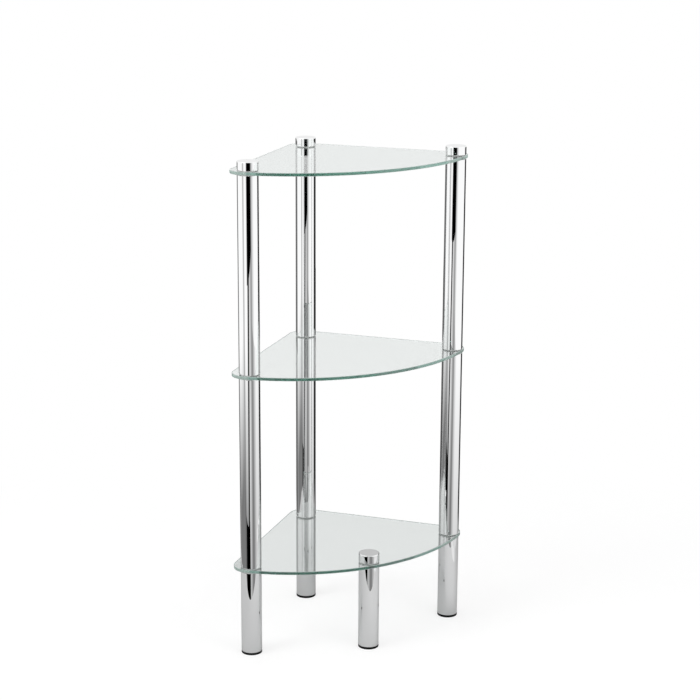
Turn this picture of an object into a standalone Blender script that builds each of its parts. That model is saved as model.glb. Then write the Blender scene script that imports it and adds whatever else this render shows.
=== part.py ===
"""Three-tier corner shelf: quarter-round glass shelves on chromed tube posts.

The posts are stacks of tube lengths. At every shelf a stud passes through a hole in the glass and screws
into the tube below, and a clear plastic washer lies on each side of the glass.
The origin is on the floor, under the middle of the shelves' bounding box. The two straight edges of the
glass lie along -X and +Y, as they would against two walls.
"""

import math

import bmesh
import bpy
from mathutils import Vector

# Glass shelves
SHELF_RADIUS = 0.293
SHELF_THICKNESS = 0.005
SHELF_CORNER_RADIUS = 0.025
SHELF_ARRIS = 0.0006

# Where the posts stand on the glass
WALL_OFFSET = 0.030
TIP_OFFSET = 0.018
FRONT_LEG_INSET = 0.019

# Chromed tubes
TUBE_DIAMETER = 0.032
TUBE_WALL = 0.001
TUBE_RIM = 0.0003
TUBE_LENGTH = 0.300
LEG_LENGTH = 0.131

# Fittings inside the tubes
STUD_DIAMETER = 0.008
STUD_TIP = 0.0008
STUD_ENGAGEMENT = 0.011
STUD_PLUG_LENGTH = 0.012
INSERT_LENGTH = 0.016

# Washers on both sides of the glass
WASHER_THICKNESS = 0.0005
WASHER_INSET = 0.0004

# Caps and feet
CAP_HEIGHT = 0.013
CAP_ROUND = 0.0012
CAP_BASE_RIM = 0.0003
FOOT_RIM_HEIGHT = 0.0035
FOOT_RIM_ROUND = 0.0004
FOOT_PLUG_LENGTH = 0.014
FOOT_PLUG_WALL = 0.002
FOOT_FLOOR = 0.004

# Fits
SEAT_GAP = 0.0003
HOLE_CLEARANCE = 0.001

# Facets
ROUND_STEPS = 32
SMALL_STEPS = 16
FRONT_STEPS = 32
CORNER_STEPS = 5
ROUND_POINTS = 2
SHARP_ANGLE = math.radians(35)
WELD_DISTANCE = 1e-6

# Sizes that follow from those above
TUBE_RADIUS = TUBE_DIAMETER / 2
BORE_RADIUS = TUBE_RADIUS - TUBE_WALL
PLUG_RADIUS = BORE_RADIUS - SEAT_GAP
STUD_RADIUS = STUD_DIAMETER / 2
HOLE_RADIUS = STUD_RADIUS + HOLE_CLEARANCE
JOINT_HEIGHT = SHELF_THICKNESS + 2 * WASHER_THICKNESS + 4 * SEAT_GAP
STUD_LENGTH = JOINT_HEIGHT + STUD_ENGAGEMENT

LEG_BASE = FOOT_RIM_HEIGHT + SEAT_GAP
LEG_TOP = LEG_BASE + LEG_LENGTH
LOWER_BASE = LEG_TOP + JOINT_HEIGHT
LOWER_TOP = LOWER_BASE + TUBE_LENGTH
UPPER_BASE = LOWER_TOP + JOINT_HEIGHT
UPPER_TOP = UPPER_BASE + TUBE_LENGTH
CAP_BASE = UPPER_TOP + JOINT_HEIGHT

# The tip arcs touch a straight edge and the front arc, so their centres lie this far along the edges
TIP_CENTRE = math.sqrt((SHELF_RADIUS - SHELF_CORNER_RADIUS) ** 2 - SHELF_CORNER_RADIUS ** 2)
SHELF_SPAN = TIP_CENTRE + SHELF_CORNER_RADIUS
WALL_CORNER = Vector((-SHELF_SPAN / 2, SHELF_SPAN / 2))

TIP_REACH = SHELF_RADIUS - TIP_OFFSET
FRONT_REACH = (SHELF_RADIUS - FRONT_LEG_INSET) / math.sqrt(2)
POSTS = {
    "left": WALL_CORNER + Vector((WALL_OFFSET, -TIP_REACH)),
    "right": WALL_CORNER + Vector((TIP_REACH, -WALL_OFFSET)),
    "back": WALL_CORNER + Vector((WALL_OFFSET, -WALL_OFFSET)),
}
FRONT_LEG = WALL_CORNER + Vector((FRONT_REACH, -FRONT_REACH))
LEGS = {**POSTS, "front": FRONT_LEG}


def clear_scene():
    """Removes every object that the scene holds."""
    for old in list(bpy.data.objects):
        bpy.data.objects.remove(old, do_unlink=True)


def make_material(name, color, roughness, metallic=0.0, transmission=0.0):
    """A Principled material with one colour."""
    material = bpy.data.materials.new(name)
    material.use_nodes = True
    shader = material.node_tree.nodes["Principled BSDF"]
    shader.inputs["Base Color"].default_value = (*color, 1.0)
    shader.inputs["Roughness"].default_value = roughness
    shader.inputs["Metallic"].default_value = metallic
    shader.inputs["Transmission Weight"].default_value = transmission
    material.diffuse_color = (*color, 1.0)
    material.roughness = roughness
    material.metallic = metallic
    return material


def arc(centre, radius, start, end, steps):
    """Points along an arc, from the start angle to the end angle, both ends included."""
    points = []
    for step in range(steps + 1):
        angle = start + (end - start) * step / steps
        points.append((centre[0] + radius * math.cos(angle), centre[1] + radius * math.sin(angle)))
    return points


def evaluated_mesh(source, name):
    """The finished mesh of a curve or of an object with modifiers, with its caps welded."""
    depsgraph = bpy.context.evaluated_depsgraph_get()
    mesh = bpy.data.meshes.new_from_object(source.evaluated_get(depsgraph))
    mesh.name = name
    welded = bmesh.new()
    welded.from_mesh(mesh)
    bmesh.ops.remove_doubles(welded, verts=welded.verts, dist=WELD_DISTANCE)
    welded.to_mesh(mesh)
    welded.free()
    mesh.shade_smooth()
    mesh.set_sharp_from_angle(angle=SHARP_ANGLE)
    bpy.data.objects.remove(source, do_unlink=True)
    return mesh


def turned_mesh(name, profile, closed, steps, material):
    """A profile of (radius, height) points turned about Z with a Screw modifier."""
    outline = bpy.data.meshes.new(name + "_profile")
    count = len(profile)
    edges = [(index, index + 1) for index in range(count - 1)]
    if closed:
        edges.append((count - 1, 0))
    outline.from_pydata([(radius, 0.0, height) for radius, height in profile], edges, [])
    source = bpy.data.objects.new(name + "_source", outline)
    bpy.context.scene.collection.objects.link(source)
    screw = source.modifiers.new("turn", "SCREW")
    screw.axis = "Z"
    screw.angle = 2 * math.pi
    screw.steps = steps
    screw.render_steps = steps
    screw.use_merge_vertices = True
    screw.merge_threshold = WELD_DISTANCE
    mesh = evaluated_mesh(source, name)
    mesh.materials.clear()
    mesh.materials.append(material)
    return mesh


def tube_mesh(name, length, material):
    """A length of tube standing on Z = 0, with its outer rims broken."""
    profile = [
        (TUBE_RADIUS - TUBE_RIM, length),
        (TUBE_RADIUS, length - TUBE_RIM),
        (TUBE_RADIUS, TUBE_RIM),
        (TUBE_RADIUS - TUBE_RIM, 0.0),
        (BORE_RADIUS, 0.0),
        (BORE_RADIUS, length),
    ]
    return turned_mesh(name, profile, True, ROUND_STEPS, material)


def insert_mesh(material):
    """The threaded insert. Its top face, at Z = 0, is flush with the end of its tube."""
    thread_radius = STUD_RADIUS + SEAT_GAP
    profile = [
        (PLUG_RADIUS, 0.0),
        (PLUG_RADIUS, -INSERT_LENGTH),
        (thread_radius, -INSERT_LENGTH),
        (thread_radius, 0.0),
    ]
    return turned_mesh("threaded_insert", profile, True, SMALL_STEPS, material)


def stud_profile():
    """The outline of a stud that hangs from Z = 0, from its root down to the axis."""
    return [
        (STUD_RADIUS, 0.0),
        (STUD_RADIUS, STUD_TIP - STUD_LENGTH),
        (STUD_RADIUS - STUD_TIP, -STUD_LENGTH),
        (0.0, -STUD_LENGTH),
    ]


def stud_plug_mesh(material):
    """The plug in a tube's lower end, flush with it at Z = 0, with its stud below."""
    profile = [
        (0.0, STUD_PLUG_LENGTH),
        (PLUG_RADIUS, STUD_PLUG_LENGTH),
        (PLUG_RADIUS, 0.0),
        *stud_profile(),
    ]
    return turned_mesh("stud_plug", profile, False, SMALL_STEPS, material)


def cap_mesh(material):
    """A flat cap standing on Z = 0, with a rounded upper edge and its stud below."""
    round_centre = (TUBE_RADIUS - CAP_ROUND, CAP_HEIGHT - CAP_ROUND)
    profile = [
        (0.0, CAP_HEIGHT),
        *arc(round_centre, CAP_ROUND, math.pi / 2, 0.0, ROUND_POINTS),
        (TUBE_RADIUS, CAP_BASE_RIM),
        (TUBE_RADIUS - CAP_BASE_RIM, 0.0),
        *stud_profile(),
    ]
    return turned_mesh("post_cap", profile, False, ROUND_STEPS, material)


def foot_mesh(material):
    """The end plug under a leg: a rim that stands on the floor, and a hollow plug inside the tube."""
    plug_bore = PLUG_RADIUS - FOOT_PLUG_WALL
    plug_top = LEG_BASE + FOOT_PLUG_LENGTH
    profile = [
        (0.0, FOOT_FLOOR),
        (plug_bore, FOOT_FLOOR),
        (plug_bore, plug_top),
        (PLUG_RADIUS, plug_top),
        (PLUG_RADIUS, FOOT_RIM_HEIGHT),
        (TUBE_RADIUS, FOOT_RIM_HEIGHT),
        (TUBE_RADIUS, FOOT_RIM_ROUND),
        (TUBE_RADIUS - FOOT_RIM_ROUND, 0.0),
        (0.0, 0.0),
    ]
    return turned_mesh("leg_foot", profile, False, ROUND_STEPS, material)


def washer_mesh(material):
    """A flat ring standing on Z = 0, set back a little from the tube's outside."""
    outer = TUBE_RADIUS - WASHER_INSET
    profile = [
        (outer, WASHER_THICKNESS),
        (outer, 0.0),
        (HOLE_RADIUS, 0.0),
        (HOLE_RADIUS, WASHER_THICKNESS),
    ]
    return turned_mesh("joint_washer", profile, True, SMALL_STEPS, material)


def shelf_outline():
    """The quarter-round edge of a shelf, counter-clockwise from above, as points on the floor plan."""
    corner = SHELF_CORNER_RADIUS
    slant = math.asin(corner / (SHELF_RADIUS - corner))
    right_angle = math.pi / 2
    rounds = [
        arc((corner, -corner), corner, right_angle, math.pi, CORNER_STEPS),
        arc((corner, -TIP_CENTRE), corner, math.pi, math.pi + right_angle + slant, CORNER_STEPS),
        arc((0.0, 0.0), SHELF_RADIUS, slant - right_angle, -slant, FRONT_STEPS)[1:-1],
        arc((TIP_CENTRE, -corner), corner, -slant, right_angle, CORNER_STEPS),
    ]
    return [Vector(point) + WALL_CORNER for stretch in rounds for point in stretch]


def add_loop(curve, points):
    """Adds a closed straight-sided loop to a flat curve."""
    spline = curve.splines.new("POLY")
    spline.points.add(len(points) - 1)
    for slot, point in zip(spline.points, points):
        slot.co = (point[0], point[1], 0.0, 1.0)
    spline.use_cyclic_u = True


def shelf_mesh(name, holes, material):
    """A glass shelf with its middle plane on Z = 0, ground edges, and a hole at each post."""
    curve = bpy.data.curves.new(name + "_outline", "CURVE")
    curve.dimensions = "2D"
    curve.fill_mode = "BOTH"
    curve.extrude = SHELF_THICKNESS / 2 - SHELF_ARRIS
    curve.bevel_depth = SHELF_ARRIS
    curve.bevel_resolution = 0
    curve.offset = -SHELF_ARRIS
    add_loop(curve, shelf_outline())
    for hole in holes:
        add_loop(curve, arc(hole, HOLE_RADIUS, 2 * math.pi, 0.0, SMALL_STEPS)[1:])
    source = bpy.data.objects.new(name + "_source", curve)
    bpy.context.scene.collection.objects.link(source)
    mesh = evaluated_mesh(source, name)
    mesh.materials.clear()
    mesh.materials.append(material)
    return mesh


def build():
    clear_scene()
    chrome = make_material("chrome_plate", (0.80, 0.81, 0.82), 0.06, metallic=1.0)
    glass = make_material("clear_glass", (0.86, 0.95, 0.91), 0.02, transmission=1.0)
    black_plastic = make_material("black_plastic", (0.02, 0.02, 0.02), 0.45)
    steel = make_material("zinc_plated_steel", (0.62, 0.63, 0.65), 0.35, metallic=1.0)
    clear_plastic = make_material("clear_plastic", (0.84, 0.86, 0.85), 0.25, transmission=0.8)

    parts = bpy.data.collections.new("corner_shelf")
    bpy.context.scene.collection.children.link(parts)
    unit = bpy.data.objects.new("corner_shelf_origin", None)
    parts.objects.link(unit)

    def place(name, mesh, plan, height):
        piece = bpy.data.objects.new(name, mesh)
        parts.objects.link(piece)
        piece.parent = unit
        piece.location = (plan[0], plan[1], height)

    leg_tube = tube_mesh("leg_tube", LEG_LENGTH, chrome)
    post_tube = tube_mesh("post_tube", TUBE_LENGTH, chrome)
    threaded_insert = insert_mesh(steel)
    stud_plug = stud_plug_mesh(steel)
    post_cap = cap_mesh(chrome)
    leg_foot = foot_mesh(black_plastic)
    washer = washer_mesh(clear_plastic)

    shelf_levels = {
        "bottom": (LEG_TOP, LEGS),
        "middle": (LOWER_TOP, POSTS),
        "top": (UPPER_TOP, POSTS),
    }
    under_glass = WASHER_THICKNESS + 2 * SEAT_GAP
    over_glass = under_glass + SHELF_THICKNESS + SEAT_GAP
    for level, (tube_end, stands) in shelf_levels.items():
        shelf = shelf_mesh(level + "_shelf", stands.values(), glass)
        place(level + "_shelf", shelf, (0.0, 0.0), tube_end + under_glass + SHELF_THICKNESS / 2)
        for side, plan in stands.items():
            place(f"{side}_{level}_washer_under", washer, plan, tube_end + SEAT_GAP)
            place(f"{side}_{level}_washer_over", washer, plan, tube_end + over_glass)

    for side, plan in LEGS.items():
        place(side + "_foot", leg_foot, plan, 0.0)
        place(side + "_leg_tube", leg_tube, plan, LEG_BASE)
        place(side + "_leg_insert", threaded_insert, plan, LEG_TOP)

    for side, plan in POSTS.items():
        for stage, base in {"lower": LOWER_BASE, "upper": UPPER_BASE}.items():
            place(f"{side}_{stage}_tube", post_tube, plan, base)
            place(f"{side}_{stage}_stud_plug", stud_plug, plan, base)
            place(f"{side}_{stage}_insert", threaded_insert, plan, base + TUBE_LENGTH)
        place(side + "_cap", post_cap, plan, CAP_BASE)
    place("front_cap", post_cap, FRONT_LEG, LOWER_BASE)


build()
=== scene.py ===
"""Three-tier corner shelf, dressed: chromed posts, quarter-round glass and the joints' fittings.

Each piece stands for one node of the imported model, and takes its place and main sizes from that
node's box. Lengths are in metres.
"""

import math
from typing import NamedTuple

import bmesh
import bpy
from mathutils import Matrix, Vector
from mathutils.geometry import tessellate_polygon


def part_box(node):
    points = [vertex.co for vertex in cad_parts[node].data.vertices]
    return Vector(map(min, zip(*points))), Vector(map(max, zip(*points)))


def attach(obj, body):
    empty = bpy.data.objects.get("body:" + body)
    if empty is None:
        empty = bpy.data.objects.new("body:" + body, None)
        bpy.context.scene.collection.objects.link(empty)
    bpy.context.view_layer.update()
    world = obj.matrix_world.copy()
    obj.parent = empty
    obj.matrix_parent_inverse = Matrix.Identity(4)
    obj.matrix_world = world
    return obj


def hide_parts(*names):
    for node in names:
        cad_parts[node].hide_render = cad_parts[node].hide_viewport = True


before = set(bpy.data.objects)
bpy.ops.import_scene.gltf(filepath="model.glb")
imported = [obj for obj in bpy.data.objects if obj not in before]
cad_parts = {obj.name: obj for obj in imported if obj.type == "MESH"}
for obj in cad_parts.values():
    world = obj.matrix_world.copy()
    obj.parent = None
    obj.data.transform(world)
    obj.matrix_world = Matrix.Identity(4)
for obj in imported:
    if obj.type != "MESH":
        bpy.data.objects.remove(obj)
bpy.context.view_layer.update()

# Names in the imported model
POSTS = ("left", "right", "back")
LEGS = ("left", "right", "back", "front")
STAGES = ("lower", "upper")
LEVELS = ("bottom", "middle", "top")

# Angles
QUARTER = math.pi / 2
FULL_TURN = 2 * math.pi
SHARP_ANGLE = math.radians(35)

# Chromed tubes. A ring of points as far as SUPPORT from a rounded edge keeps its shading tight
TUBE_RADIUS = (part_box("left_upper_tube")[1].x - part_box("left_upper_tube")[0].x) / 2
TUBE_WALL = 0.001
TUBE_RIM = 0.0003
BORE_RADIUS = TUBE_RADIUS - TUBE_WALL
SUPPORT = 0.0004

# Caps
CAP_ROUND = 0.0012
CAP_BASE_RIM = 0.0003

# Studs, plugs, inserts and washers. In half pitches from the middle of a thread's ridge, its slope
# is halfway down at 1 - THREAD_CREST and reaches as far as THREAD_FLANK to both sides of that
STUD_RADIUS = 0.004
THREAD_PITCH = 0.00125
THREAD_DEPTH = 0.0006
THREAD_ROWS = 6
THREAD_CREST = 0.15
THREAD_FLANK = 0.35
STUD_TIP = 0.0008
STUD_ROOT = 0.0004
SEAT_GAP = 0.0003
PLUG_RADIUS = BORE_RADIUS - SEAT_GAP
INSERT_BORE = STUD_RADIUS + SEAT_GAP
FITTING_CHAMFER = 0.0004
WASHER_INSET = 0.0004
WASHER_ROUND = 0.0002
WASHER_SQUEEZE = 0.00025
HOLE_RADIUS = 0.005

# Feet
FOOT_RIM_HEIGHT = 0.0035
FOOT_RIM_ROUND = 0.0004
FOOT_PLUG_WALL = 0.002
FOOT_FLOOR = 0.004
FOOT_GROOVE_RADIUS = 0.0105
FOOT_GROOVE_WIDTH = 0.0012
FOOT_GROOVE_DEPTH = 0.0004

# Glass shelves
SHELF_RADIUS = 0.293
SHELF_CORNER = 0.025
SHELF_ARRIS = 0.0006
TIP_CENTRE = math.sqrt((SHELF_RADIUS - SHELF_CORNER) ** 2 - SHELF_CORNER ** 2)
SHELF_SPAN = TIP_CENTRE + SHELF_CORNER
WALL_CORNER = Vector((-SHELF_SPAN / 2, SHELF_SPAN / 2))

# Facets
TUBE_SEGMENTS = 128
FITTING_SEGMENTS = 64
STUD_SEGMENTS = 32
HOLE_SEGMENTS = 64
FRONT_STEPS = 192
CORNER_STEPS = 24
ROUND_STEPS = 6
ARRIS_STEPS = 3
ON_AXIS = 1e-7

# How the edge of the glass is marked as ground. It is in front where it faces +X and -Y by more
# than the limit, and along the walls elsewhere
FRONT_GRIND = 0.5
REAR_GRIND = 1.0
FRONT_LIMIT = -0.9
EDGE_TINT = (0.86, 0.95, 0.92)

# The ground edge turns matt towards the two tips, in steps of (name, how clear, tint, reach at the
# left, at the right). A reach is how far the edge may face away from the tip's own side. The edges
# along the walls face past TIP_END, and stay clear
TIP_STEPS = (
    ("ground_turn", 0.80, (0.62, 0.95, 0.85), 0.17, 0.70),
    ("ground_fade", 0.65, (0.62, 0.95, 0.85), 0.17, 0.50),
    ("ground_tip", 0.50, (0.66, 0.82, 0.76), 0.12, 0.30),
)
TIP_END = 0.99

# The narrow arrises along the front are ground too, and paler than the edge between them. Their
# glass comes after the steps in a shelf's list
ARRIS_CLEAR = 0.5
ARRIS_TINT = (0.84, 0.97, 0.93)
ARRIS_GLASS = len(TIP_STEPS) + 1

# A noise is (stretch along the axes, scale, detail), and a bump is (strength, depth). Roughness
# runs from the first number to the second over the middle part of a noise, or over its own part
EVEN = (1.0, 1.0, 1.0)
NOISE_PART = (0.3, 0.7)

CHROME_HAZE = ((1.0, 1.0, 0.5), 38.0, 4.0)
CHROME_POLISH = ((1.0, 1.0, 0.05), 900.0, 2.0)
CHROME_RIPPLE = ((1.0, 1.0, 0.12), 70.0, 1.0)
CHROME_TINTS = ((0.955, 0.960, 0.965), (0.975, 0.978, 0.980))
CHROME_ROUGH = (0.008, 0.016)
CHROME_HAZE_ROUGH = 0.020
CHROME_BUMP = (0.03, 0.00004)

GLASS_SMEAR = (EVEN, 22.0, 5.0)
GLASS_GRIND = ((1.0, 1.0, 6.0), 500.0, 3.0)
SMEAR_ROUGH = (0.0, 0.012)
SMEAR_PART = (0.45, 0.8)
FRONT_ROUGH = (0.24, 0.34)
REAR_ROUGH = (0.60, 0.70)
GLASS_TINT = (0.985, 0.995, 0.990)
GLASS_IOR = 1.52

# What the glass passes drops by Density times (1 - Color) for every metre
GLASS_DENSITY = 7.4
GLASS_COLOUR = (0.03, 0.47, 0.35)

PLASTIC_GRAIN = (EVEN, 2600.0, 2.0)
PLASTIC_SCUFF = ((1.0, 1.0, 2.0), 160.0, 5.0)
PLASTIC_TINTS = ((0.003, 0.003, 0.003), (0.010, 0.010, 0.010))
SCUFF_PART = (0.5, 0.8)
PLASTIC_ROUGH = (0.42, 0.58)
PLASTIC_SPECULAR = 0.2
PLASTIC_BUMP = (0.35, 0.00006)

WASHER_CLOUD = (EVEN, 420.0, 4.0)
WASHER_GRAIN = (EVEN, 3200.0, 2.0)
WASHER_TINTS = ((0.93, 0.95, 0.94), (0.97, 0.98, 0.97))
WASHER_ROUGH = (0.16, 0.30)
WASHER_CLEAR = 0.25
WASHER_IOR = 1.49
WASHER_BUMP = (0.3, 0.00004)

STEEL_CLOUD = (EVEN, 240.0, 4.0)
STEEL_LATHE = ((0.02, 0.02, 1.0), 5200.0, 2.0)
STEEL_TINTS = ((0.56, 0.57, 0.60), (0.70, 0.71, 0.73))
STEEL_ROUGH = (0.26, 0.40)
STEEL_BUMP = (0.3, 0.00003)

# The Mix node names its sockets alike for every kind of value, so they go by number
MIX_NUMBERS = (2, 3)
MIX_COLOURS = (6, 7)
MIX_COLOUR_OUT = 2

# A ray has bounced once, or to and fro, when its count of bounces is over these
BOUNCED = 0.5
TO_AND_FRO = 4.5

# The most bounces that are followed
LIGHT_BOUNCES = 24

# The camera
CAMERA_PLACE = Vector((0.91207, -2.69032, 1.22090))
CAMERA_TURN = math.radians(18.751)
CAMERA_DOWN = math.radians(14.937)
CAMERA_ROLL = math.radians(0.296)
CAMERA_LENS = 98.43
CAMERA_CLIP = 100.0
SENSOR_WIDTH = 36.0

# Studio light, where 1 is white. A reach is a distance from the object's middle on the floor
WHITE = 1.0
BEHIND_GLASS = 0.90
SOFT_FILL = 0.62
BACKDROP_MIRRORED = 0.88
LOW_SKY = (0.45, 0.75)
FLOOR_PLAIN = 0.80
FLOOR_GLOW = 0.74
FLOOR_WHITE = 0.32
FLOOR_REACH = 9.0
SHADOW_REACH = (0.45, 0.95)
# Over this reach the floor is painted darker to light trapped in the glass, a painted shade that
# deepens the lower shelves' edges
EDGE_SHADE_REACH = (0.7, 3.0)

# Soft boxes, as (name, place, where it points, width, watts)
SOFT_BOXES = (
    ("key_box", (-1.7, -1.9, 2.3), (0.0, 0.0, 0.35), 1.5, 34.0),
    ("fill_box", (2.1, -0.9, 1.7), (0.0, 0.0, 0.40), 1.3, 14.0),
)

# The table under the object as its surfaces mirror it, with painted light: its colour is lighter on
# the right and darker behind. A patch on it glows as painted light. A fade is
# (axis, (place, share), (place, share))
TABLE_HEIGHT = 0.0005
TABLE_OUTLINE = (
    (-0.31, -0.44),
    (-0.22, -0.395),
    (0.02, -0.345),
    (0.12, -0.305),
    (0.24, -0.225),
    (0.45, -0.05),
    (0.45, 0.50),
    (-0.50, 0.50),
    (-0.50, -0.15),
    (-0.42, -0.34),
)
TABLE_PAINTED_LIGHT = (("X", (-0.20, 0.60), (0.20, 0.72)), ("Y", (0.10, 1.0), (0.40, 0.72)))
GLINT_HEIGHT = 0.001
GLINT_OUTLINE = ((0.385, -0.13), (0.45, -0.13), (0.45, 0.12), (0.385, 0.12))
GLINT = 0.80

# A tent of cards round the object, which only its surfaces mirror. A turn is where the cards of a
# side change
TENT_FRONT = -0.82
TENT_BACK = 0.85
TENT_LEFT = -0.80
TENT_RIGHT = 0.62
TENT_FOOT = -0.6
TENT_TOP = 1.4
BACK_TOP = 0.66
CARD_STEP = 0.01
RIGHT_TURN = 0.45
RIGHT_FOOT = ("Z", (-0.10, 0.66), (0.30, 1.0))
LEFT_TURN = 0.05


class Card(NamedTuple):
    """An upright card on a wall of the tent, some steps nearer to the object than the wall.

    It runs from start to end along its wall, and may lean along X. It gives back a level of light,
    or its fades.
    """

    name: str
    wall: str
    start: float
    end: float
    low: float = TENT_FOOT
    high: float = TENT_TOP
    step: int = 0
    lean: float = 0.0
    level: float = WHITE
    fades: tuple = ()


TENT_CARDS = (
    Card("front_white", "front", TENT_LEFT, -0.02, fades=(("Z", (-0.06, 0.28), (0.30, 1.0)),)),
    Card("front_seam", "front", -0.72, -0.43, step=1, fades=(("Z", (-0.06, 0.15), (0.32, 0.54)),)),
    Card("front_stand", "front", -0.13, 0.08, low=-0.05, high=0.44, step=1, lean=0.11, level=0.04),
    Card(
        "front_grey",
        "front",
        -0.02,
        TENT_RIGHT,
        high=0.44,
        fades=(("X", (0.12, 0.85), (0.60, 0.30)), ("Z", (-0.15, 0.65), (0.10, 1.0))),
    ),
    Card(
        "front_black",
        "front",
        -0.13,
        0.61,
        low=0.435,
        step=2,
        fades=(("X", (-0.13, 1.0), (-0.04, 0.0)),),
    ),
    Card("front_gap", "front", -0.42, 0.09, low=-0.30, high=-0.030, step=2, level=0.0),
    Card(
        "right_upper",
        "right",
        TENT_FRONT,
        RIGHT_TURN,
        low=0.30,
        fades=(("Y", (-0.80, 0.25), (-0.26, 1.0)),),
    ),
    Card(
        "right_lower",
        "right",
        TENT_FRONT,
        RIGHT_TURN,
        high=0.30,
        fades=(("Y", (-0.58, 0.30), (-0.08, 1.0)), RIGHT_FOOT),
    ),
    Card(
        "right_end",
        "right",
        RIGHT_TURN,
        TENT_BACK,
        high=BACK_TOP,
        fades=(("Y", (0.56, 1.0), (0.65, 0.03)), RIGHT_FOOT),
    ),
    Card("back_black", "back", TENT_LEFT, TENT_RIGHT, high=BACK_TOP, level=0.02),
    Card("back_band", "back", -0.50, -0.03, low=0.40, high=0.635, step=1, level=0.55),
    Card(
        "back_window",
        "back",
        -0.50,
        -0.03,
        low=0.635,
        high=BACK_TOP,
        step=1,
        level=BACKDROP_MIRRORED,
    ),
    Card("left_white", "left", TENT_FRONT, LEFT_TURN, fades=(("Z", (0.0, 0.19), (0.29, 1.0)),)),
    Card(
        "left_end",
        "left",
        LEFT_TURN,
        TENT_BACK,
        high=BACK_TOP,
        fades=(("Y", (LEFT_TURN, 1.0), (0.18, 0.15)), ("Z", (-0.03, 0.60), (0.25, 1.0))),
    ),
)


def axis_of(node):
    """The upright axis of a round node, as a point on the floor plan."""
    low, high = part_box(node)
    return (low + high).xy / 2


def arc(centre, radius, start, end, steps):
    """Points along an arc, from the start angle to the end angle, both ends included."""
    points = []
    for step in range(steps + 1):
        angle = start + (end - start) * step / steps
        points.append((centre[0] + radius * math.cos(angle), centre[1] + radius * math.sin(angle)))
    return points


def turned(profile, segments, closed=False):
    """Vertices and faces of a profile of (radius, height) points turned about Z.

    A radius may be a function of the angle. A point on the axis becomes one vertex.
    """
    vertices, rows, faces = [], [], []
    for radius, height in profile:
        first = len(vertices)
        if not callable(radius) and radius < ON_AXIS:
            vertices.append((0.0, 0.0, height))
        else:
            for step in range(segments):
                angle = FULL_TURN * step / segments
                reach = radius(angle) if callable(radius) else radius
                vertices.append((reach * math.cos(angle), reach * math.sin(angle), height))
        rows.append(range(first, len(vertices)))
    pairs = list(zip(rows, rows[1:]))
    if closed:
        pairs.append((rows[-1], rows[0]))
    for upper, lower in pairs:
        for step in range(segments):
            corner = [
                upper[step % len(upper)],
                lower[step % len(lower)],
                lower[(step + 1) % len(lower)],
                upper[(step + 1) % len(upper)],
            ]
            faces.append(list(dict.fromkeys(corner)))
    return vertices, faces


def solid_mesh(name, shells):
    """One mesh from closed shells. Each shell is (vertices, faces, material)."""
    vertices, faces, indices, materials = [], [], [], []
    for shell_vertices, shell_faces, material in shells:
        first = len(vertices)
        vertices += shell_vertices
        faces += [[first + corner for corner in face] for face in shell_faces]
        if material not in materials:
            materials.append(material)
        indices += [materials.index(material)] * len(shell_faces)
    mesh = bpy.data.meshes.new(name)
    mesh.from_pydata(vertices, [], faces)
    for material in materials:
        mesh.materials.append(material)
    mesh.polygons.foreach_set("material_index", indices)
    mesh.shade_smooth()
    mesh.set_sharp_from_angle(angle=SHARP_ANGLE)
    return mesh


def dress(node, mesh, plan, height):
    """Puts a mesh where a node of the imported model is, and lets it stand for that node."""
    mesh.transform(Matrix.Translation((plan[0], plan[1], height)))
    piece = bpy.data.objects.new(node + "_fine", mesh)
    bpy.context.scene.collection.objects.link(piece)
    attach(piece, "root")
    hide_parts(node)


def dress_whole(nodes, shell, material):
    """Dresses nodes whose whole height is one shell of one material."""
    for node in nodes:
        low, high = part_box(node)
        mesh = solid_mesh(node, [(*shell(high.z - low.z), material)])
        dress(node, mesh, axis_of(node), low.z)


def upper_edge(radius, height, rounding):
    """The rounded upper edge of a turned piece, as points of its profile."""
    return arc((radius - rounding, height - rounding), rounding, QUARTER, 0.0, ROUND_STEPS)


def lower_edge(radius, rounding):
    """The rounded lower edge of a turned piece that stands on Z = 0."""
    return arc((radius - rounding, rounding), rounding, 0.0, -QUARTER, ROUND_STEPS)


def tube_shell(length):
    """A tube with its outer rims rounded, standing on Z = 0."""
    profile = [
        *upper_edge(TUBE_RADIUS, length, TUBE_RIM),
        (TUBE_RADIUS, length - TUBE_RIM - SUPPORT),
        (TUBE_RADIUS, TUBE_RIM + SUPPORT),
        *lower_edge(TUBE_RADIUS, TUBE_RIM),
        (BORE_RADIUS, 0.0),
        (BORE_RADIUS, length),
    ]
    return turned(profile, TUBE_SEGMENTS, closed=True)


def thread_radius(height, length):
    """The radius of a threaded stud round its axis at one height, as a function of the angle."""
    tip_limit = STUD_RADIUS - max(0.0, STUD_TIP - (height + length))

    def radius(angle):
        turn = (height / THREAD_PITCH + angle / FULL_TURN) % 1.0
        away = abs(turn - 0.5) * 2
        ridge = min(1.0, max(0.0, (1.0 - THREAD_CREST - away) / (2 * THREAD_FLANK) + 0.5))
        return min(tip_limit, STUD_RADIUS - THREAD_DEPTH * (1.0 - ridge))

    return radius


def stud_shell(length):
    """A threaded stud that hangs from Z = 0, with its root inside the piece above."""
    rows = round((length + STUD_ROOT) / THREAD_PITCH * THREAD_ROWS)
    profile = [(0.0, STUD_ROOT)]
    for row in range(rows + 1):
        height = STUD_ROOT - (length + STUD_ROOT) * row / rows
        profile.append((thread_radius(height, length), height))
    profile.append((0.0, -length))
    return turned(profile, STUD_SEGMENTS)


def cap_shell(height):
    """A flat cap standing on Z = 0, with a rounded upper edge."""
    profile = [
        (0.0, height),
        (TUBE_RADIUS - CAP_ROUND - SUPPORT, height),
        *upper_edge(TUBE_RADIUS, height, CAP_ROUND),
        (TUBE_RADIUS, height - CAP_ROUND - SUPPORT),
        (TUBE_RADIUS, CAP_BASE_RIM + SUPPORT),
        *lower_edge(TUBE_RADIUS, CAP_BASE_RIM),
        (TUBE_RADIUS - CAP_BASE_RIM - SUPPORT, 0.0),
        (0.0, 0.0),
    ]
    return turned(profile, TUBE_SEGMENTS)


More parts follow.
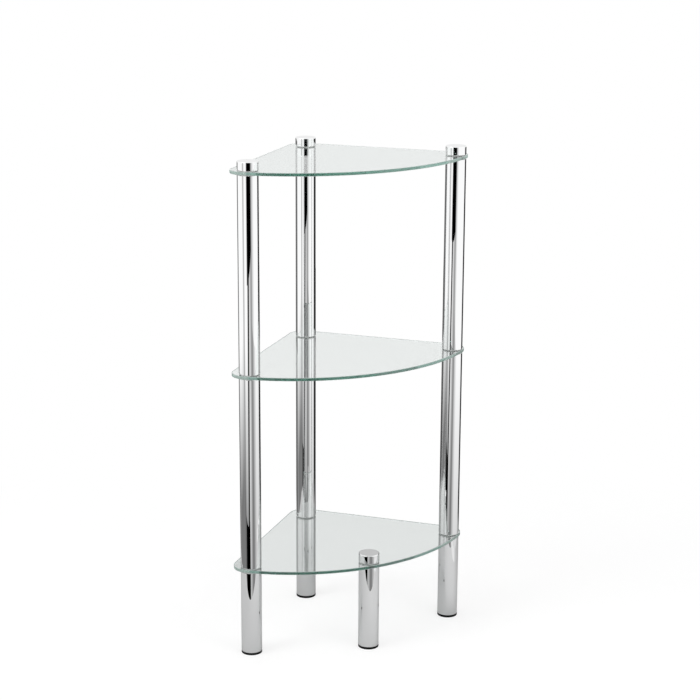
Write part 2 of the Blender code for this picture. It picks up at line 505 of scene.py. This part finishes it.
def insert_shell(length):
    """The insert in the top of a tube, with a plain bore and chamfers, standing on Z = 0."""
    profile = [
        (PLUG_RADIUS - FITTING_CHAMFER, length),
        (PLUG_RADIUS, length - FITTING_CHAMFER),
        (PLUG_RADIUS, FITTING_CHAMFER),
        (PLUG_RADIUS - FITTING_CHAMFER, 0.0),
        (INSERT_BORE + FITTING_CHAMFER, 0.0),
        (INSERT_BORE, FITTING_CHAMFER),
        (INSERT_BORE, length - FITTING_CHAMFER),
        (INSERT_BORE + FITTING_CHAMFER, length),
    ]
    return turned(profile, FITTING_SEGMENTS, closed=True)


def plug_shell(length):
    """The plug in the bottom of a tube, with chamfers, standing on Z = 0."""
    profile = [
        (0.0, length),
        (PLUG_RADIUS - FITTING_CHAMFER, length),
        (PLUG_RADIUS, length - FITTING_CHAMFER),
        (PLUG_RADIUS, FITTING_CHAMFER),
        (PLUG_RADIUS - FITTING_CHAMFER, 0.0),
        (0.0, 0.0),
    ]
    return turned(profile, FITTING_SEGMENTS)


def washer_shell(thickness):
    """A plastic ring standing on Z = 0, with its outside rounded."""
    outer = TUBE_RADIUS - WASHER_INSET
    profile = [
        *upper_edge(outer, thickness, WASHER_ROUND),
        *lower_edge(outer, WASHER_ROUND),
        (HOLE_RADIUS, 0.0),
        (HOLE_RADIUS, thickness),
    ]
    return turned(profile, FITTING_SEGMENTS, closed=True)


def foot_shell(height):
    """The plastic end plug of a leg: a rim on the floor and a hollow plug inside the tube."""
    plug_bore = PLUG_RADIUS - FOOT_PLUG_WALL
    groove_out = FOOT_GROOVE_RADIUS + FOOT_GROOVE_WIDTH / 2
    groove_in = FOOT_GROOVE_RADIUS - FOOT_GROOVE_WIDTH / 2
    profile = [
        (0.0, FOOT_FLOOR),
        (plug_bore, FOOT_FLOOR),
        (plug_bore, height - FITTING_CHAMFER),
        (plug_bore + FITTING_CHAMFER, height),
        (PLUG_RADIUS - FITTING_CHAMFER, height),
        (PLUG_RADIUS, height - FITTING_CHAMFER),
        (PLUG_RADIUS, FOOT_RIM_HEIGHT),
        *upper_edge(TUBE_RADIUS, FOOT_RIM_HEIGHT, FOOT_RIM_ROUND),
        *lower_edge(TUBE_RADIUS, FOOT_RIM_ROUND),
        (groove_out, 0.0),
        (groove_out, FOOT_GROOVE_DEPTH),
        (groove_in, FOOT_GROOVE_DEPTH),
        (groove_in, 0.0),
        (0.0, 0.0),
    ]
    return turned(profile, TUBE_SEGMENTS)


def shelf_outline():
    """The quarter-round edge of a shelf, counter-clockwise from above.

    It is made of (point, outward normal) pairs. The walls are towards -X and +Y.
    """
    slant = math.asin(SHELF_CORNER / (SHELF_RADIUS - SHELF_CORNER))
    left_end = math.pi + QUARTER + slant
    stretches = [
        ((SHELF_CORNER, -SHELF_CORNER), SHELF_CORNER, QUARTER, math.pi, CORNER_STEPS),
        ((SHELF_CORNER, -TIP_CENTRE), SHELF_CORNER, math.pi, left_end, CORNER_STEPS),
        ((0.0, 0.0), SHELF_RADIUS, slant - QUARTER, -slant, FRONT_STEPS),
        ((TIP_CENTRE, -SHELF_CORNER), SHELF_CORNER, -slant, QUARTER, CORNER_STEPS),
    ]
    pairs = []
    for centre, radius, start, end, steps in stretches:
        points = arc(centre, radius, start, end, steps)
        for point in points[1:] if radius == SHELF_RADIUS else points:
            normal = (Vector(point) - Vector(centre)).normalized()
            pairs.append((Vector(point) + WALL_CORNER, normal))
        if radius == SHELF_RADIUS:
            pairs.pop()
    return pairs


def hole_outline(centre):
    """A drilled hole, clockwise from above, as (point, normal out of the glass) pairs."""
    pairs = []
    for point in arc((0.0, 0.0), 1.0, FULL_TURN, 0.0, HOLE_SEGMENTS)[1:]:
        spoke = Vector(point)
        pairs.append((centre + spoke * HOLE_RADIUS, -spoke))
    return pairs


def tip_step(facing):
    """Which glass an edge takes by the way it faces: 0 is clear, and the last is the matt tip."""
    found = 0
    for step, (*_, left, right) in enumerate(TIP_STEPS, 1):
        at_left = facing.y < 0 and -TIP_END < facing.x < left
        at_right = facing.x > 0 and -right < facing.y < TIP_END
        if at_left or at_right:
            found = step
    return found


def shelf_mesh(node, holes, materials):
    """A glass shelf with rounded arrises, drilled for its posts.

    Its edges are marked as ground, and those of the outline take the glass of their tip or arris.
    """
    low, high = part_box(node)
    half = (high.z - low.z) / 2
    middle = (high.z + low.z) / 2
    upper = arc((0.0, half - SHELF_ARRIS), SHELF_ARRIS, QUARTER, 0.0, ARRIS_STEPS)
    lower = arc((0.0, SHELF_ARRIS - half), SHELF_ARRIS, 0.0, -QUARTER, ARRIS_STEPS)
    edge = [(SHELF_ARRIS - out, height) for out, height in [*upper, *lower]]

    glass = bmesh.new()
    ground = glass.faces.layers.float.new("ground_edge")
    tops, bottoms = [], []
    rim = shelf_outline()
    for outline in [rim, *(hole_outline(centre) for centre in holes)]:
        rings = []
        for inset, height in edge:
            ring = []
            for point, normal in outline:
                x, y = point - normal * inset
                x = min(max(x, low.x), high.x)
                y = min(max(y, low.y), high.y)
                ring.append(glass.verts.new((x, y, middle + height)))
            rings.append(ring)
        for row, (above, below) in enumerate(zip(rings, rings[1:])):
            on_arris = row != ARRIS_STEPS
            for step, _ in enumerate(above):
                turn = step - 1
                face = glass.faces.new((above[turn], below[turn], below[step], above[step]))
                facing = outline[step][1]
                in_front = facing.x - facing.y > FRONT_LIMIT
                face[ground] = FRONT_GRIND if in_front else REAR_GRIND
                if outline is rim:
                    front_arris = on_arris and in_front
                    face.material_index = ARRIS_GLASS if front_arris else tip_step(facing)
        tops.append(rings[0])
        bottoms.append(rings[-1])
    for loops in (tops, bottoms):
        corners = [vertex for loop in loops for vertex in loop]
        flat = [[vertex.co for vertex in loop] for loop in loops]
        for triangle in tessellate_polygon(flat):
            glass.faces.new([corners[index] for index in triangle])
    bmesh.ops.recalc_face_normals(glass, faces=glass.faces)
    for face in glass.faces:
        face.smooth = True
    for side in glass.edges:
        one, other = side.link_faces
        side.smooth = (one[ground] > 0.0) == (other[ground] > 0.0)
    mesh = bpy.data.meshes.new(node)
    glass.to_mesh(mesh)
    glass.free()
    for material in materials:
        mesh.materials.append(material)
    return mesh


class Nodes:
    """Short ways to add and join the nodes of one material or world."""

    def __init__(self, tree):
        self.tree = tree

    def add(self, kind, **settings):
        """A new node. A setting names one of its properties or inputs, with spaces as _."""
        node = self.tree.nodes.new(kind)
        for name, value in settings.items():
            if hasattr(node, name):
                setattr(node, name, value)
            else:
                node.inputs[name.replace("_", " ")].default_value = value
        return node

    def join(self, source, target):
        """Joins an output socket to an input socket."""
        self.tree.links.new(source, target)

    def noise(self, coordinates, stretch, scale, detail):
        """A noise over the piece's own coordinates, stretched along the axes, as a factor."""
        mapping = self.add("ShaderNodeMapping", Scale=stretch)
        self.join(coordinates, mapping.inputs["Vector"])
        texture = self.add("ShaderNodeTexNoise", Scale=scale, Detail=detail)
        self.join(mapping.outputs["Vector"], texture.inputs["Vector"])
        return texture.outputs["Fac"]

    def span(self, factor, reach, part=NOISE_PART):
        """A part of a factor, from its start to its end, spread over a reach from low to high."""
        spread = self.add("ShaderNodeMapRange")
        self.join(factor, spread.inputs["Value"])
        for name, value in zip(("From Min", "From Max", "To Min", "To Max"), (*part, *reach)):
            spread.inputs[name].default_value = value
        return spread.outputs["Result"]

    def tint(self, factor, first, second):
        """A colour between two colours."""
        mix = self.add("ShaderNodeMix", data_type="RGBA")
        self.join(factor, mix.inputs["Factor"])
        for slot, colour in zip(MIX_COLOURS, (first, second)):
            mix.inputs[slot].default_value = (*colour, 1.0)
        return mix.outputs[MIX_COLOUR_OUT]

    def choose(self, factor, first, second):
        """A number between two numbers, where either may be a socket."""
        mix = self.add("ShaderNodeMix", data_type="FLOAT")
        self.join(factor, mix.inputs[0])
        for slot, value in zip(MIX_NUMBERS, (first, second)):
            if isinstance(value, bpy.types.NodeSocket):
                self.join(value, mix.inputs[slot])
            else:
                mix.inputs[slot].default_value = value
        return mix.outputs[0]

    def calc(self, operation, first, second):
        """What a math operation makes of two sockets, kept between 0 and 1."""
        math_node = self.add("ShaderNodeMath", operation=operation, use_clamp=True)
        self.join(first, math_node.inputs[0])
        self.join(second, math_node.inputs[1])
        return math_node.outputs[0]

    def more_than(self, number, limit):
        """1 where a number is over a limit, else 0."""
        test = self.add("ShaderNodeMath", operation="GREATER_THAN")
        self.join(number, test.inputs[0])
        test.inputs[1].default_value = limit
        return test.outputs[0]

    def rays(self):
        """What a ray is: (seen by the camera, seen through glass, mirrored, trapped in glass).

        Light that bounces to and fro inside the glass is trapped, and counts as seen through it.
        """
        path = self.add("ShaderNodeLightPath").outputs
        bounced = self.more_than(path["Glossy Depth"], BOUNCED)
        to_and_fro = self.more_than(path["Glossy Depth"], TO_AND_FRO)
        in_glass = self.more_than(path["Transmission Depth"], BOUNCED)
        trapped = self.calc("MULTIPLY", to_and_fro, in_glass)
        mirrored = self.calc("SUBTRACT", bounced, trapped)
        mirrored = self.calc("SUBTRACT", mirrored, path["Is Diffuse Ray"])
        behind_glass = self.calc("SUBTRACT", path["Is Transmission Ray"], mirrored)
        return path["Is Camera Ray"], behind_glass, mirrored, trapped

    def faded(self, fades):
        """The share of light that one or two fades leave at a place."""
        place = self.add("ShaderNodeSeparateXYZ")
        self.join(self.add("ShaderNodeTexCoord").outputs["Object"], place.inputs[0])
        shares = []
        for axis, (start, start_share), (end, end_share) in fades:
            reach = (start_share, end_share)
            shares.append(self.span(place.outputs[axis], reach, (start, end)))
        return self.calc("MULTIPLY", *shares) if len(shares) > 1 else shares[0]

    def blend(self, factor, first, second):
        """A shader between two shaders."""
        mix = self.add("ShaderNodeMixShader")
        self.join(factor, mix.inputs[0])
        self.join(first, mix.inputs[1])
        self.join(second, mix.inputs[2])
        return mix.outputs[0]

    def bump(self, factor, strength, distance):
        """A bump normal from a factor, with its depth in metres."""
        bump = self.add("ShaderNodeBump", Strength=strength, Distance=distance)
        self.join(factor, bump.inputs["Height"])
        return bump.outputs["Normal"]

    def coat(self, shader, colour, roughness, normal):
        """Joins a colour, a roughness and a normal to a shader."""
        self.join(colour, shader.inputs["Base Color"])
        self.join(roughness, shader.inputs["Roughness"])
        self.join(normal, shader.inputs["Normal"])


def new_material(name):
    """A node material. Returns it with its nodes, its shader and the piece's own coordinates."""
    material = bpy.data.materials.new(name)
    material.use_nodes = True
    nodes = Nodes(material.node_tree)
    shader = material.node_tree.nodes["Principled BSDF"]
    coordinates = nodes.add("ShaderNodeTexCoord").outputs["Object"]
    return material, nodes, shader, coordinates


def chrome_material():
    """Bright chrome plate with faint polish lines, haze from handling and a slight ripple."""
    material, nodes, shader, coordinates = new_material("chrome_plate")
    haze = nodes.noise(coordinates, *CHROME_HAZE)
    polish = nodes.noise(coordinates, *CHROME_POLISH)
    ripple = nodes.noise(coordinates, *CHROME_RIPPLE)
    shader.inputs["Metallic"].default_value = 1.0
    colour = nodes.tint(haze, *CHROME_TINTS)
    roughness = nodes.choose(haze, nodes.span(polish, CHROME_ROUGH), CHROME_HAZE_ROUGH)
    nodes.coat(shader, colour, roughness, nodes.bump(ripple, *CHROME_BUMP))
    return material


def glass_material(name="clear_glass", clear=1.0, edge_tint=EDGE_TINT):
    """Float glass that turns green over a long path, with satin ground edges and faint smears."""
    material, nodes, shader, coordinates = new_material(name)
    edge = nodes.add("ShaderNodeAttribute", attribute_name="ground_edge").outputs["Fac"]
    smear = nodes.noise(coordinates, *GLASS_SMEAR)
    grind = nodes.noise(coordinates, *GLASS_GRIND)
    face_rough = nodes.span(smear, SMEAR_ROUGH, SMEAR_PART)
    front_rough = nodes.span(grind, FRONT_ROUGH)
    rear_rough = nodes.span(grind, REAR_ROUGH)
    edge_rough = nodes.choose(nodes.more_than(edge, FRONT_GRIND), front_rough, rear_rough)
    edge = nodes.more_than(edge, 0.0)
    shader.inputs["Transmission Weight"].default_value = clear
    shader.inputs["IOR"].default_value = GLASS_IOR
    nodes.join(nodes.choose(edge, face_rough, edge_rough), shader.inputs["Roughness"])
    nodes.join(nodes.tint(edge, GLASS_TINT, edge_tint), shader.inputs["Base Color"])
    absorb = nodes.add("ShaderNodeVolumeAbsorption", Density=GLASS_DENSITY)
    absorb.inputs["Color"].default_value = (*GLASS_COLOUR, 1.0)
    output = material.node_tree.nodes["Material Output"]
    nodes.join(absorb.outputs["Volume"], output.inputs["Volume"])
    return material


def plastic_material():
    """Black moulded plastic with a fine satin grain, scuffed a little paler."""
    material, nodes, shader, coordinates = new_material("black_plastic")
    grain = nodes.noise(coordinates, *PLASTIC_GRAIN)
    scuff = nodes.noise(coordinates, *PLASTIC_SCUFF)
    shade = nodes.span(scuff, (0.0, 1.0), SCUFF_PART)
    shader.inputs["Specular IOR Level"].default_value = PLASTIC_SPECULAR
    colour = nodes.tint(shade, *PLASTIC_TINTS)
    roughness = nodes.span(scuff, PLASTIC_ROUGH)
    nodes.coat(shader, colour, roughness, nodes.bump(grain, *PLASTIC_BUMP))
    return material


def washer_material():
    """Milky washer plastic with a fine moulded grain."""
    material, nodes, shader, coordinates = new_material("washer_plastic")
    cloud = nodes.noise(coordinates, *WASHER_CLOUD)
    grain = nodes.noise(coordinates, *WASHER_GRAIN)
    shader.inputs["Transmission Weight"].default_value = WASHER_CLEAR
    shader.inputs["IOR"].default_value = WASHER_IOR
    colour = nodes.tint(cloud, *WASHER_TINTS)
    roughness = nodes.span(cloud, WASHER_ROUGH)
    nodes.coat(shader, colour, roughness, nodes.bump(grain, *WASHER_BUMP))
    return material


def steel_material():
    """Zinc-plated steel with turning marks and cloudy plating."""
    material, nodes, shader, coordinates = new_material("zinc_plated_steel")
    cloud = nodes.noise(coordinates, *STEEL_CLOUD)
    lathe = nodes.noise(coordinates, *STEEL_LATHE)
    shader.inputs["Metallic"].default_value = 1.0
    colour = nodes.tint(cloud, *STEEL_TINTS)
    roughness = nodes.span(cloud, STEEL_ROUGH)
    nodes.coat(shader, colour, roughness, nodes.bump(lathe, *STEEL_BUMP))
    return material


def add_camera():
    """The camera at the photograph's viewing angle."""
    lens = bpy.data.cameras.new("camera")
    lens.lens = CAMERA_LENS
    lens.sensor_width = SENSOR_WIDTH
    lens.clip_end = CAMERA_CLIP
    camera = bpy.data.objects.new("camera", lens)
    turn = Matrix.Rotation(CAMERA_TURN, 4, "Z")
    tilt = Matrix.Rotation(QUARTER - CAMERA_DOWN, 4, "X")
    roll = Matrix.Rotation(CAMERA_ROLL, 4, "Z")
    camera.matrix_world = Matrix.Translation(CAMERA_PLACE) @ turn @ tilt @ roll
    bpy.context.scene.collection.objects.link(camera)
    bpy.context.scene.camera = camera


def add_lamp(name, place, aim, size, power):
    """A square soft box that points at a place on the object."""
    light = bpy.data.lights.new(name, "AREA")
    light.shape = "SQUARE"
    light.size = size
    light.energy = power
    lamp = bpy.data.objects.new(name, light)
    lamp.location = place
    lamp.rotation_euler = (Vector(aim) - Vector(place)).to_track_quat("-Z", "Y").to_euler()
    lamp.visible_camera = False
    bpy.context.scene.collection.objects.link(lamp)


def add_world():
    """An even white surround, softer as fill light, behind the glass and low down in the chrome."""
    world = bpy.data.worlds.new("studio")
    world.use_nodes = True
    bpy.context.scene.world = world
    nodes = Nodes(world.node_tree)
    camera, behind_glass, mirrored, _ = nodes.rays()
    heading = nodes.add("ShaderNodeSeparateXYZ")
    nodes.join(nodes.add("ShaderNodeTexCoord").outputs["Generated"], heading.inputs[0])
    surround_level = nodes.span(heading.outputs["Z"], (BACKDROP_MIRRORED, WHITE), LOW_SKY)
    level = nodes.choose(mirrored, SOFT_FILL, surround_level)
    level = nodes.choose(behind_glass, level, BEHIND_GLASS)
    level = nodes.choose(camera, level, WHITE)
    surround = world.node_tree.nodes["Background"]
    surround.inputs["Color"].default_value = (1.0, 1.0, 1.0, 1.0)
    nodes.join(level, surround.inputs["Strength"])


def flat_object(name, corners, material):
    """A flat staged card with the given corners."""
    mesh = bpy.data.meshes.new(name)
    mesh.from_pydata(corners, [], [list(range(len(corners)))])
    mesh.materials.append(material)
    card = bpy.data.objects.new(name, mesh)
    bpy.context.scene.collection.objects.link(card)
    return card


def bare_material(name):
    """A material with nothing but its output. Returns it with its nodes."""
    material = bpy.data.materials.new(name)
    material.use_nodes = True
    material.node_tree.nodes.remove(material.node_tree.nodes["Principled BSDF"])
    return material, Nodes(material.node_tree)


def floor_material():
    """A white floor that keeps the object's shadow. The tent stands for it in the chrome.

    Near the object it is painted darker to light trapped in the glass, a painted shade that makes
    the lower edges look deeper.
    """
    material, nodes = bare_material("pale_floor")
    camera, behind_glass, mirrored, trapped = nodes.rays()
    reach = nodes.add("ShaderNodeVectorMath", operation="LENGTH")
    nodes.join(nodes.add("ShaderNodeTexCoord").outputs["Object"], reach.inputs[0])
    open_floor = nodes.span(reach.outputs["Value"], (0.0, 1.0), SHADOW_REACH)

    level = nodes.choose(behind_glass, WHITE, BEHIND_GLASS)
    # Painted shade: near the object the floor is darker to light trapped in the glass
    edge_painted_shade = nodes.span(reach.outputs["Value"], (0.0, BEHIND_GLASS), EDGE_SHADE_REACH)
    level = nodes.choose(trapped, level, edge_painted_shade)
    glow = nodes.add("ShaderNodeEmission")
    glow_level = nodes.choose(open_floor, FLOOR_GLOW, WHITE)
    nodes.join(nodes.calc("MULTIPLY", level, glow_level), glow.inputs["Strength"])
    white = nodes.add("ShaderNodeBsdfDiffuse")
    white_level = nodes.choose(open_floor, FLOOR_WHITE, 0.0)
    nodes.join(nodes.calc("MULTIPLY", level, white_level), white.inputs["Color"])
    seen = nodes.add("ShaderNodeAddShader")
    nodes.join(glow.outputs[0], seen.inputs[0])
    nodes.join(white.outputs[0], seen.inputs[1])

    plain = nodes.add("ShaderNodeBsdfDiffuse")
    plain.inputs["Color"].default_value = (FLOOR_PLAIN, FLOOR_PLAIN, FLOOR_PLAIN, 1.0)
    through = nodes.add("ShaderNodeBsdfTransparent")
    whole = nodes.blend(mirrored, plain.outputs[0], through.outputs[0])
    whole = nodes.blend(nodes.calc("ADD", camera, behind_glass), whole, seen.outputs[0])
    nodes.join(whole, material.node_tree.nodes["Material Output"].inputs["Surface"])
    return material


def show_mirrored(material, nodes, shader):
    """Lets a shader show to mirrored rays and be clear to all others."""
    _, _, mirrored, _ = nodes.rays()
    clear = nodes.add("ShaderNodeBsdfTransparent")
    whole = nodes.blend(mirrored, clear.outputs[0], shader.outputs[0])
    nodes.join(whole, material.node_tree.nodes["Material Output"].inputs["Surface"])


def table_material():
    """The pale table as the chrome mirrors it, with painted light: lighter on the right and darker
    behind.
    """
    material, nodes = bare_material("pale_table")
    matt = nodes.add("ShaderNodeBsdfDiffuse")
    nodes.join(nodes.faded(TABLE_PAINTED_LIGHT), matt.inputs["Color"])
    show_mirrored(material, nodes, matt)
    return material


def card_material(name, level, fades):
    """A studio card that gives back a level of light, or fades."""
    material, nodes = bare_material(name)
    glow = nodes.add("ShaderNodeEmission", Strength=level)
    if fades:
        nodes.join(nodes.faded(fades), glow.inputs["Strength"])
    show_mirrored(material, nodes, glow)
    material.cycles.emission_sampling = "NONE"
    return material


def mirrored_only(card):
    """Keeps a staged card out of what the camera and the lamps see."""
    card.visible_camera = False
    card.visible_diffuse = False
    card.visible_shadow = False
    card.visible_volume_scatter = False


def add_card(name, corners, level, fades=()):
    """One card that only mirrored rays see."""
    mirrored_only(flat_object(name, corners, card_material(name, level, fades)))


def card_corners(card):
    """The corners of a card of the tent."""
    if card.wall in ("left", "right"):
        x = TENT_LEFT if card.wall == "left" else TENT_RIGHT
        start, end = (x, card.start), (x, card.end)
    else:
        inward = card.step * CARD_STEP
        y = TENT_FRONT + inward if card.wall == "front" else TENT_BACK - inward
        start, end = (card.start, y), (card.end, y)
    return [
        (*start, card.low),
        (*end, card.low),
        (end[0] + card.lean, end[1], card.high),
        (start[0] + card.lean, start[1], card.high),
    ]


def add_tent():
    """The cards and the table that draw the bright fields and the dark lines in the chrome."""
    for card in TENT_CARDS:
        add_card(card.name, card_corners(card), card.level, card.fades)
    table = [(x, y, TABLE_HEIGHT) for x, y in TABLE_OUTLINE]
    mirrored_only(flat_object("table", table, table_material()))
    # A glowing patch of painted light on the table, which only the chrome mirrors
    add_card("table_glint", [(x, y, GLINT_HEIGHT) for x, y in GLINT_OUTLINE], GLINT)


def add_studio():
    """The floor, the surround, the soft boxes and the tent."""
    floor = [(-FLOOR_REACH, -FLOOR_REACH, 0.0), (FLOOR_REACH, -FLOOR_REACH, 0.0)]
    floor += [(FLOOR_REACH, FLOOR_REACH, 0.0), (-FLOOR_REACH, FLOOR_REACH, 0.0)]
    flat_object("floor", floor, floor_material())
    add_world()
    for box in SOFT_BOXES:
        add_lamp(*box)
    add_tent()


def build_shelf_unit():
    """Every piece of the unit."""
    chrome = chrome_material()
    glass = [glass_material()]
    glass += [glass_material(name, clear, tint) for name, clear, tint, _, _ in TIP_STEPS]
    glass.append(glass_material("ground_arris", ARRIS_CLEAR, ARRIS_TINT))
    plastic = plastic_material()
    steel = steel_material()
    washer_plastic = washer_material()
    lengths = [side + "_leg" for side in LEGS]
    lengths += [f"{side}_{stage}" for side in POSTS for stage in STAGES]

    dress_whole([length + "_tube" for length in lengths], tube_shell, chrome)

    cap_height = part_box("left_cap")[1].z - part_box("left_top_washer_over")[1].z - SEAT_GAP
    for side in LEGS:
        node = side + "_cap"
        low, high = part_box(node)
        stud = stud_shell(high.z - low.z - cap_height)
        mesh = solid_mesh(node, [(*cap_shell(cap_height), chrome), (*stud, steel)])
        dress(node, mesh, axis_of(node), high.z - cap_height)

    dress_whole([side + "_foot" for side in LEGS], foot_shell, plastic)
    dress_whole([length + "_insert" for length in lengths], insert_shell, steel)

    for side in POSTS:
        for stage in STAGES:
            node = f"{side}_{stage}_stud_plug"
            low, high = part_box(node)
            tube_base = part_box(f"{side}_{stage}_tube")[0].z
            stud = stud_shell(tube_base - low.z)
            mesh = solid_mesh(node, [(*plug_shell(high.z - tube_base), steel), (*stud, steel)])
            dress(node, mesh, axis_of(node), tube_base)

    for level in LEVELS:
        sides = LEGS if level == "bottom" else POSTS
        for side in sides:
            for place in ("under", "over"):
                node = f"{side}_{level}_washer_{place}"
                low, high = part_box(node)
                thickness = high.z - low.z + 2 * WASHER_SQUEEZE
                mesh = solid_mesh(node, [(*washer_shell(thickness), washer_plastic)])
                dress(node, mesh, axis_of(node), low.z - WASHER_SQUEEZE)
        node = level + "_shelf"
        mesh = shelf_mesh(node, [axis_of(side + "_leg_tube") for side in sides], glass)
        dress(node, mesh, (0.0, 0.0), 0.0)


build_shelf_unit()
add_camera()
add_studio()

scene = bpy.context.scene
scene.view_settings.view_transform = "Standard"
scene.cycles.max_bounces = LIGHT_BOUNCES
scene.cycles.glossy_bounces = LIGHT_BOUNCES
scene.cycles.transmission_bounces = LIGHT_BOUNCES
scene.cycles.caustics_reflective = False
